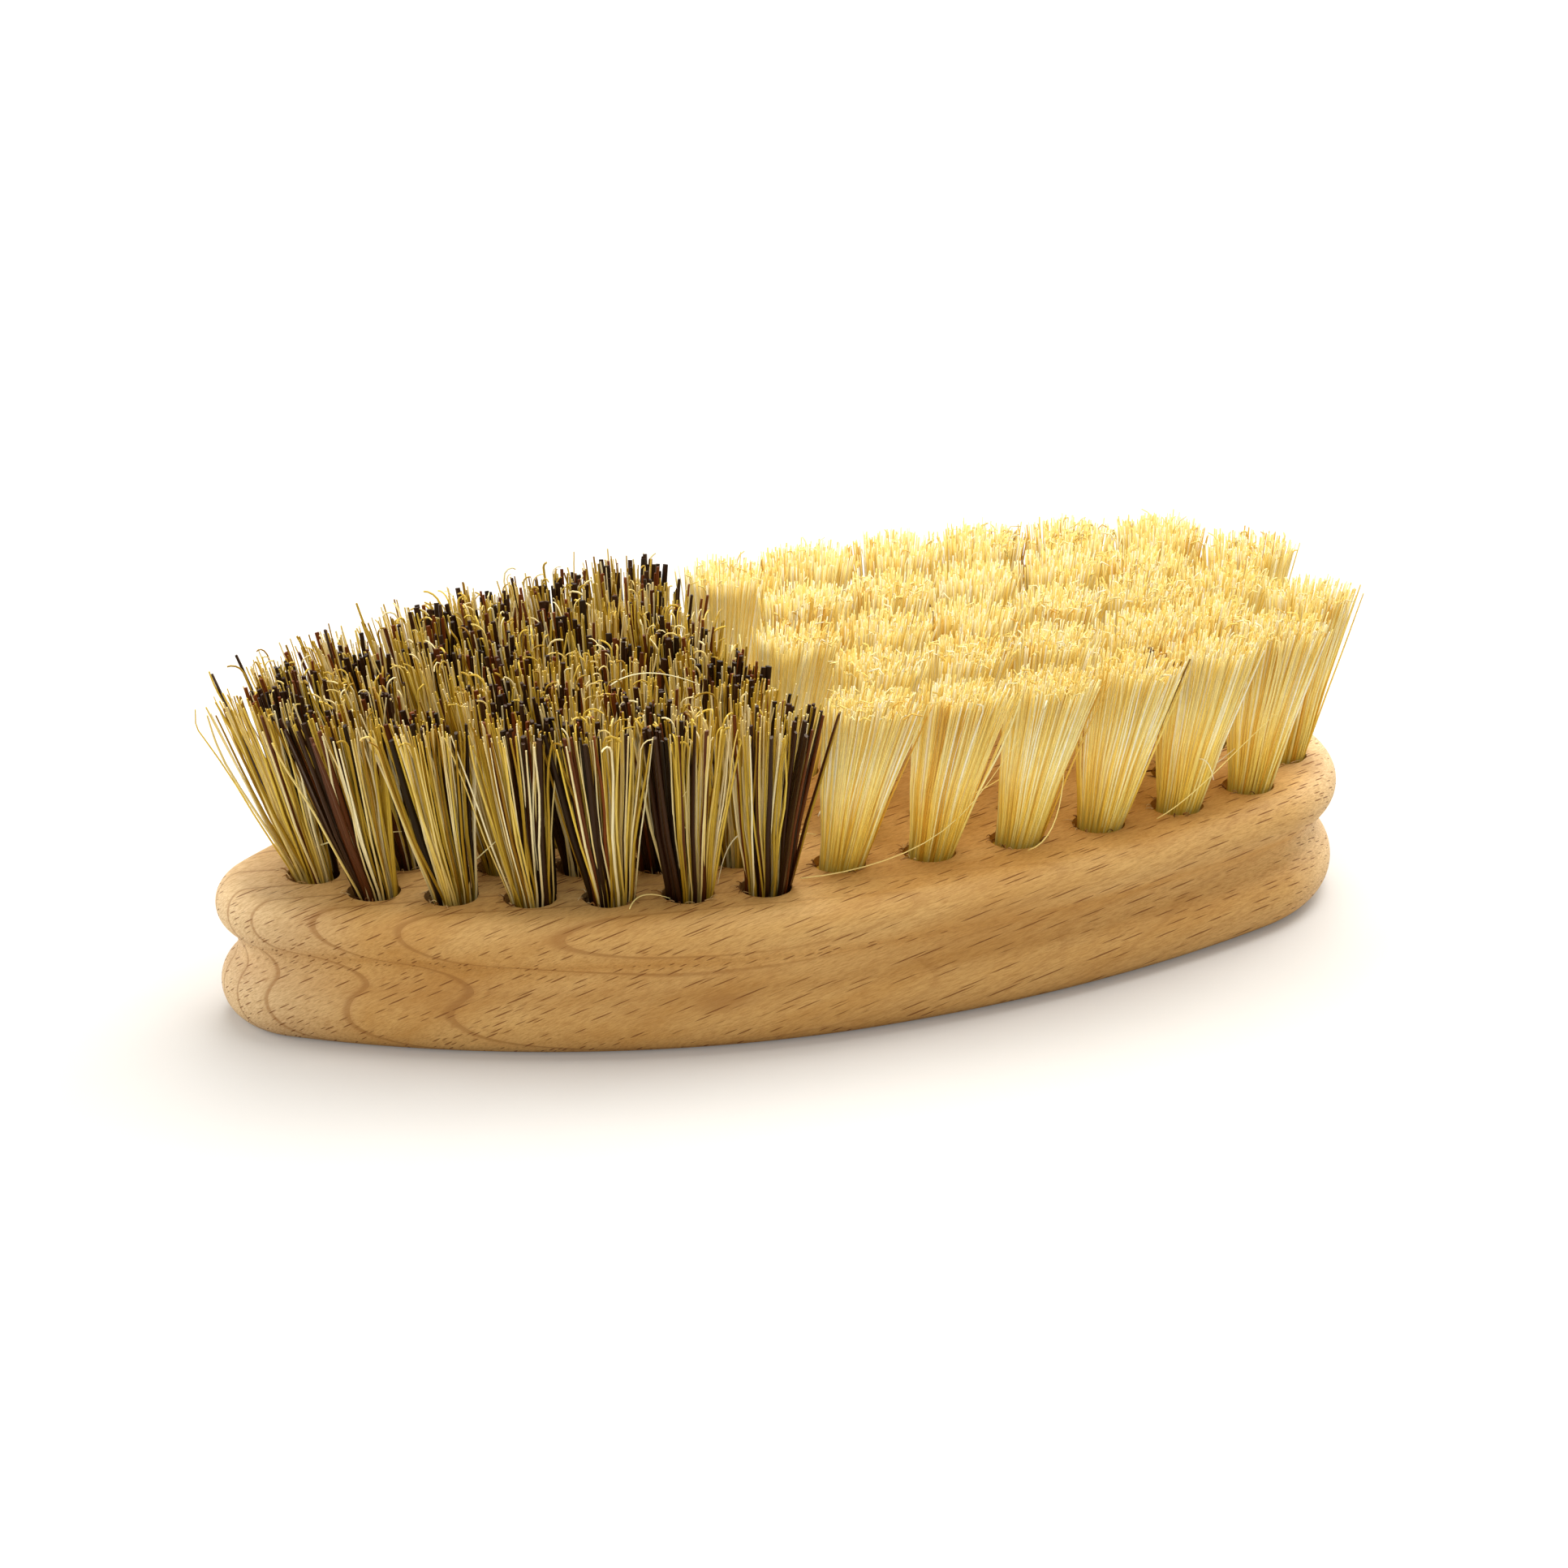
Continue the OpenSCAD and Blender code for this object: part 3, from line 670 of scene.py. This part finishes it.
def fibrePaths(look, mouth, rise, outward, share, thick, rng):
    # each fibre climbs the tuft's axis, fans out from its place in the bore, bows, waves, and may curl over
    n = look["count"]
    t = np.array(look["stations"])
    g = growth
    top = rise[2] - look["uneven"] * rng.beta(*g["shears"], n)
    missed = rng.uniform(0, 1, n) < g["tallShare"]
    top = np.where(missed, rise[2] + g["tall"] * rng.uniform(0, 1, n), top)
    # the end of a curled fibre is an arc that starts upright, and its highest point is where the tip would be
    picked = rng.uniform(0, 1, n) < look["curled"] * rng.uniform(*g["curlMood"])
    curls = picked & (thick < g["noCurl"])
    arc = np.where(curls, look["curlRadius"] * rng.uniform(*g["curlSize"], n), 0)[:, None]
    turned = rng.uniform(*g["curlTurn"], (n, 1)) * np.clip((t - g["curlFrom"]) / (1 - g["curlFrom"]), 0, 1)
    climb = np.where(curls[:, None], np.clip(t / g["curlFrom"], 0, 1), t)
    z = -look["dip"] + (top[:, None] - arc + look["dip"]) * climb + arc * np.sin(turned)
    way = rng.uniform(0, 2 * math.pi) + rng.normal(0, look["curlSpread"], n)
    over = (arc * (1 - np.cos(turned)))[..., None] * heading(way)[:, None]
    # the fan opens from root to tip, and the outermost fibres are flung a little further
    opened = look["rootRadius"] + (look["tipRadius"] - look["rootRadius"]) * t ** g["opening"]
    loose = g["looser"] if mouth[0] < g["looseX"] else 1.0
    flung = look["fling"] * loose * rng.uniform(0, 1, n) ** g["flingPower"] * share ** g["flingPower"]
    fan = share[:, None] * opened + flung[:, None] * t
    xy = fan[..., None] * outward[:, None] + z[..., None] * rise[:2] / rise[2] + over
    xy = xy + rng.normal(0, look["scatter"], (n, 1, 2)) * t[:, None]
    # each leans and bows its own way, the thick ones less, and waves a little
    limp = np.where(thick < g["limp"], 1.0, g["firm"])[:, None, None]
    bend = np.clip(rng.standard_t(g["bendFreedom"], (n, 1, 2)) * look["bend"], -g["bendMost"], g["bendMost"])
    xy += limp * bend * (t * t * g["lean"] + np.sin(math.pi * t) * g["bow"])[:, None]
    swing = np.sin(rng.uniform(*g["swing"], (n, 1, 1)) * t[:, None] + rng.uniform(0, anyAngle, (n, 1, 1)))
    xy += limp * rng.normal(0, look["wave"], (n, 1, 2)) * swing * t[:, None]
    xy[..., 0] += look["slip"] * np.clip(1 - np.abs(z) / g["slipHeight"], 0, 1)
    xy = np.clip(xy + mouth[:2], -g["farthest"], g["farthest"])
    return np.concatenate([xy, (z + mouth[2])[..., None]], 2)


def tubesAlong(paths, radius, sides, phase, flat):
    # closed tubes: a ring of points round each point of each path, square to it and flattened one way
    tangent = np.gradient(paths, axis=1)
    tangent /= np.linalg.norm(tangent, axis=2, keepdims=True)
    first = np.cross(tangent, [0.31, 0.95, 0.0])   # any direction that no path runs along
    first /= np.linalg.norm(first, axis=2, keepdims=True)
    second = np.cross(tangent, first)
    ahead = np.cos(phase)[:, None, None]
    aside = np.sin(phase)[:, None, None]
    turnedFirst = ahead * first + aside * second
    turnedSecond = (ahead * second - aside * first) * flat[:, None, None]
    turn = np.linspace(0, 2 * math.pi, sides, endpoint=False)[:, None]
    ring = np.cos(turn) * turnedFirst[:, :, None] + np.sin(turn) * turnedSecond[:, :, None]
    points = paths[:, :, None] + radius[:, :, None, None] * ring
    n, rows = paths.shape[:2]
    shift = (np.arange(n) * rows * sides)[:, None, None]
    walls = (gridFaces(rows, sides)[None] + shift).reshape(-1, 4)
    ends = np.stack([np.arange(sides)[::-1], np.arange(sides) + (rows - 1) * sides])
    return points.reshape(-1, 3), walls, (ends[None] + shift).reshape(-1, sides)


# the folded root: radius and height of its profile in millimetres, from the bottom of the bore to a low crown
root = {
    "profile": [[0.05, -9.42], [2.2, -9.4], [2.75, -8.7], [2.8, -5], [2.75, -1.9], [2.2, -1.5], [0.05, -1.3]],
    "around": 20, "tone": 0.2,
}


def rootPlug(frameTurn, mouth, start):
    # the profile, turned round the bore's axis, with faces that count from start
    profile = np.array(root["profile"])
    rows, columns = len(profile), root["around"]
    around = heading(np.linspace(0, 2 * math.pi, columns, endpoint=False))
    rise = np.broadcast_to(profile[:, 1, None, None], (rows, columns, 1))
    local = np.concatenate([profile[:, 0, None, None] * around, rise], -1)
    points = np.einsum("ij,haj->hai", frameTurn, local) + mouth
    ends = np.stack([np.arange(columns)[::-1], np.arange(columns) + (rows - 1) * columns]) + start
    return points.reshape(-1, 3), gridFaces(rows, columns, start), ends


def kindOf(spots, look, brown, rng):
    # the dark kinds go to the fibres that lie furthest towards one side, and the rest are dealt out evenly
    n = len(spots)
    shares = np.array([kind[0] for kind in look["kinds"]])
    shares[0] += brown
    score = spots @ heading(rng.uniform(0, 2 * math.pi)) + rng.normal(0, look["darkWay"], n)
    place = np.argsort(np.argsort(-score)) / n
    dark = shares[0] + shares[1]
    rest = dark + (1 - dark) * rng.uniform(0, 1, n)
    limits = np.cumsum(shares / shares.sum())[:-1]
    return np.searchsorted(limits, np.where(place < dark, place, rest), side="right")


def tuftPiece(name, node, look, material, mouth, rise, frameTurn, seed, brown=0.0):
    # one tuft: its fibres as closed tubes, and its folded root below the face, in one mesh
    rng = np.random.default_rng(seed)
    n, rows = look["count"], len(look["stations"])
    angle = rng.uniform(0, 2 * math.pi, n)
    share = np.sqrt(rng.uniform(0, 1, n))
    outward = heading(angle)
    kinds = np.array([kind[1:] for kind in look["kinds"]])[kindOf(outward * share[:, None], look, brown, rng)]
    thick = rng.uniform(kinds[:, 0], kinds[:, 1])
    tone = rng.uniform(kinds[:, 2], kinds[:, 3])
    paths = fibrePaths(look, mouth, rise, outward, share, thick, rng)
    radius = thick[:, None] * (1 - growth["taper"] * np.array(look["stations"]) ** 3)
    flat = np.where(thick > growth["limp"], growth["flat"], 1.0)
    points, walls, ends = tubesAlong(paths, radius, look["sides"], rng.uniform(0, anyAngle, n), flat)
    plugPoints, plugWalls, plugEnds = rootPlug(frameTurn, mouth, len(points))
    # heights run from 0 a little under the face to 1 at the cut
    under = growth["under"]
    height = np.clip((paths[..., 2] - mouth[2] + under) / (rise[2] + under), 0, 1)
    plugTone = np.full(len(plugPoints), root["tone"])
    values = {"height": np.concatenate([np.repeat(height.ravel(), look["sides"]), np.zeros(len(plugPoints))]),
              "tone": np.concatenate([np.repeat(tone, rows * look["sides"]), plugTone])}
    allPoints = np.concatenate([points, plugPoints])
    piece = makePiece(name, allPoints, [walls, ends, plugWalls, plugEnds], material, look["sharp"], values)
    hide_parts(node)
    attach(piece, "root")


for i in range(len(stiffAt)):
    tuftPiece(f"StiffTuft{i + 1:02d}", f"stiff_tuft_{i + 1:02d}", stiffTuft, unionMaterial,
              boreMouth[i], boreRise[i], boreTurn[i], 100 + i)
for i in range(len(softAt)):
    k = i + len(stiffAt)
    tuftPiece(f"SoftTuft{i + 1:02d}", f"soft_tuft_{i + 1:02d}", softTuft, tampicoMaterial,
              boreMouth[k], boreRise[k], boreTurn[k], 200 + i, brownShare.get(i, 0.0))
print("tufts bound:", len(boreAt))


# torn beech round the bores: short slivers that the drill lifted, mostly on the side towards the narrow tip
# lengths in millimetres, spreads in radians
torn = {
    "perBore": 9, "least": 0.4, "most": 1.5, "thin": 0.04, "thick": 0.1, "lift": (0.05, 0.5), "clear": 0.03,
    "inside": 0.05, "spread": 1.1, "stray": 0.7, "arch": 0.8, "points": 5, "seed": 31,
}


def tornPaths():
    # a sliver starts just inside the rim, rises a little and lies out along the face
    rng = np.random.default_rng(torn["seed"])
    n = len(boreAt) * torn["perBore"]
    angle = math.pi + rng.normal(0, torn["spread"], n)
    way = angle + rng.normal(0, torn["stray"], n)
    length = rng.uniform(torn["least"], torn["most"], n)
    start = np.repeat(boreAt, torn["perBore"], 0) + (bores["radius"] - torn["inside"]) * heading(angle)
    along = np.linspace(0, 1, torn["points"])
    xy = start[:, None] + (length[:, None] * along)[..., None] * heading(way)[:, None]
    lift = rng.uniform(*torn["lift"], n)[:, None] * np.sin(math.pi * along * torn["arch"]) + torn["clear"]
    paths = np.concatenate([xy, (block["height"] + lift)[..., None]], 2)
    return paths, rng.uniform(torn["thin"], torn["thick"], n), rng.uniform(0, 1, n)


def bezier(corners, steps):
    # a smooth curve from the first corner to the last that the others pull on: repeated blends of neighbours
    t = np.linspace(0, 1, steps + 1)[:, None]
    points = [np.array(c, float)[None] for c in corners]
    while len(points) > 1:
        points = [a * (1 - t) + b * t for a, b in zip(points, points[1:])]
    return points[0]


# loose agave fibres: one long one that curls from the face up the soft tufts, others caught between tufts or
# lying on the face, and some that spring from the outer tufts; millimetres and radians
loose = {
    "curves": [
        [(-6.5, -21.5, 16.75), (-1, -24, 17.4), (6, -19, 16.6),
         (11, -25.5, 19), (14, -24.5, 26), (18.5, -24.5, 31)],
        [(37.3, -20.6, 17.0), (41, -23, 20), (46, -22.5, 25), (53, -20.5, 28.5)],
        [(-27.2, -22.6, 16.7), (-25, -19, 17.6), (-22, -21.5, 16.7)],
        [(2, -5.2, 16.7), (4, -2.8, 18.4), (8, -4.4, 16.8)],
        [(-24.5, -9, 37.6), (-20, -7, 39.4), (-15, -12.5, 37.8)],
        [(20, -23.8, 17), (22.5, -27, 19), (24.6, -23.6, 24), (25.5, -21, 30)]],
    "steps": 12, "scattered": 22, "least": 5.0, "most": 11.0, "thin": 0.06, "thick": 0.1, "tone": (0.45, 1),
    "off": 2.2, "up": (0.3, 9), "stray": 0.9, "hump": 4, "fall": 2, "climb": (1, 3),
    "stiffOuter": 13, "softOuter": 14, "lowest": [-62, -27.5, 16.62], "highest": [62, 27.5, 37], "seed": 52,
}


def loosePaths():
    # the scattered ones start beside a tuft of the outer rows, a few millimetres up, and bow over from there
    rng = np.random.default_rng(loose["seed"])
    curves = [bezier(c, loose["steps"]) for c in loose["curves"]]
    outer = np.concatenate([np.arange(loose["stiffOuter"]), len(stiffAt) + np.arange(loose["softOuter"])])
    for k in rng.choice(outer, loose["scattered"]):
        way = rng.uniform(0, 2 * math.pi)
        up = rng.uniform(*loose["up"])
        length = rng.uniform(loose["least"], loose["most"])
        start = boreMouth[k] + [*(loose["off"] * heading(way)), up]
        side = np.append(heading(way + rng.normal(0, loose["stray"])) * length, 0)
        middle = start + side / 2 + [0, 0, rng.uniform(0, loose["hump"])]
        drift = rng.normal(0, loose["fall"], 2)
        shift = [*drift, max(rng.normal(*loose["climb"]), -up)]
        corners = np.clip([start, middle, start + side + shift], loose["lowest"], loose["highest"])
        curves.append(bezier(corners, loose["steps"]))
    thick = rng.uniform(loose["thin"], loose["thick"], len(curves))
    return np.array(curves), thick, rng.uniform(*loose["tone"], len(curves))


# thin strands: how much they taper, how many sides they have, and how high up a tuft their painted shade is
# taken from
strand = {"taper": 0.6, "sides": 5, "height": 0.8}


def strandPiece(name, paths, thick, tone, material, slot, node):
    # many thin strands in one mesh, each tapering to its far end
    rows = paths.shape[1]
    sides = strand["sides"]
    radius = thick[:, None] * (1 - strand["taper"] * np.linspace(0, 1, rows) ** 2)
    points, walls, ends = tubesAlong(paths, radius, sides, np.zeros(len(paths)), np.ones(len(paths)))
    values = {"tone": np.repeat(tone, rows * sides), "height": np.full(len(points), strand["height"])}
    piece = makePiece(name, points, [walls, ends], material, None, values)
    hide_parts(node)
    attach(piece, "root")


# torn beech is the same wood, raw: dark where it is bent over, pale where it is split
rawBeech = fibreMaterial("TornBeech", {
    "tones": [(0.0, "#5a3518"), (0.5, "#a87840"), (1.0, "#f0d39a")],
    "heights": [(0.0, "#ffffff"), (1.0, "#ffffff")], "roughness": 0.7})
strandPiece("TornGrain", *tornPaths(), rawBeech, "beech", "block")
strandPiece("LooseFibres", *loosePaths(), tampicoMaterial, "soft_fibre", "soft_tuft_01")
print("torn grain and loose fibres laid")


# anchors: flat drawn steel wire, plain and a little dull, hidden in the folds; die lines 8 to the millimetre
drawnSteel = {"pale": "#b9bcc0", "deep": "#9a9da1", "lines": (300, 8000, 8000), "smooth": 0.25, "rough": 0.45}


def wireMaterial():
    # noise drawn out along the wire, which varies its colour and dullness
    material, tree = newMaterial("DrawnSteelWire")
    place = addNode(tree, "ShaderNodeTexCoord")
    lines = addNode(tree, "ShaderNodeMapping", None, {
        "Vector": place.outputs["Object"], "Scale": drawnSteel["lines"]})
    drawn = addNode(tree, "ShaderNodeTexNoise", None, {
        "Vector": lines.outputs[0], "Scale": 1.0, "Detail": 2.0})
    dull = addNode(tree, "ShaderNodeMapRange", None, {
        "Value": drawn.outputs["Fac"], "To Min": drawnSteel["smooth"], "To Max": drawnSteel["rough"]})
    colour = addNode(tree, "ShaderNodeMix", {"data_type": "RGBA"}, {
        0: drawn.outputs["Fac"], 6: toLinear(drawnSteel["pale"]), 7: toLinear(drawnSteel["deep"])})
    finish = addNode(tree, "ShaderNodeBsdfPrincipled", None, {
        "Base Color": colour.outputs[2], "Metallic": 1.0, "Roughness": dull.outputs[0]})
    addNode(tree, "ShaderNodeOutputMaterial", None, {"Surface": finish.outputs[0]})
    return material


wire = wireMaterial()
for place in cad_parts["tuft_anchors"].material_slots:
    place.material = wire
print("anchors dressed")
